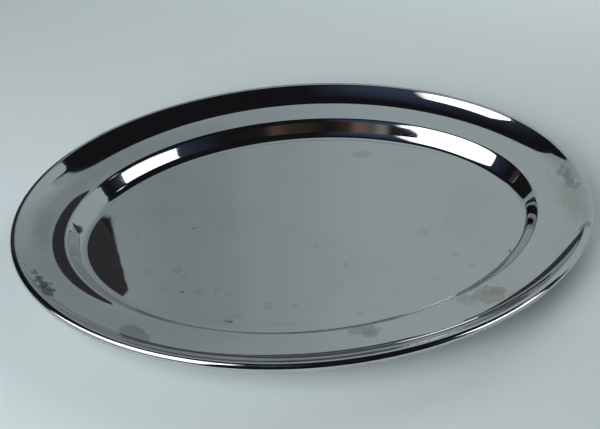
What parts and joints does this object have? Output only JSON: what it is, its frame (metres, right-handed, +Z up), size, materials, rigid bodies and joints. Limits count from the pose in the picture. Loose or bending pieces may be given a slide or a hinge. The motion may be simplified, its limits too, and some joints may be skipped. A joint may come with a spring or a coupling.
{
  "type": "serving tray",
  "caption": "Oval serving tray pressed from polished stainless sheet: flat well, dished flange and rolled bead rim, for carrying and presenting food.",
  "frame": {"origin": "middle of the base, on the surface that the tray stands on", "axes": "+X along the oval, +Y across it, +Z up out of the well"},
  "size_m": [0.45, 0.322, 0.0271],
  "materials": {
    "polished_steel": "mirror-polished stainless steel, with fine wiping scratches, dried water spots and faint tan stains on the flange; satin on the underside"
  },
  "bodies": {
    "root": {"pressed_sheet": "polished_steel"}
  },
  "joints": []
}
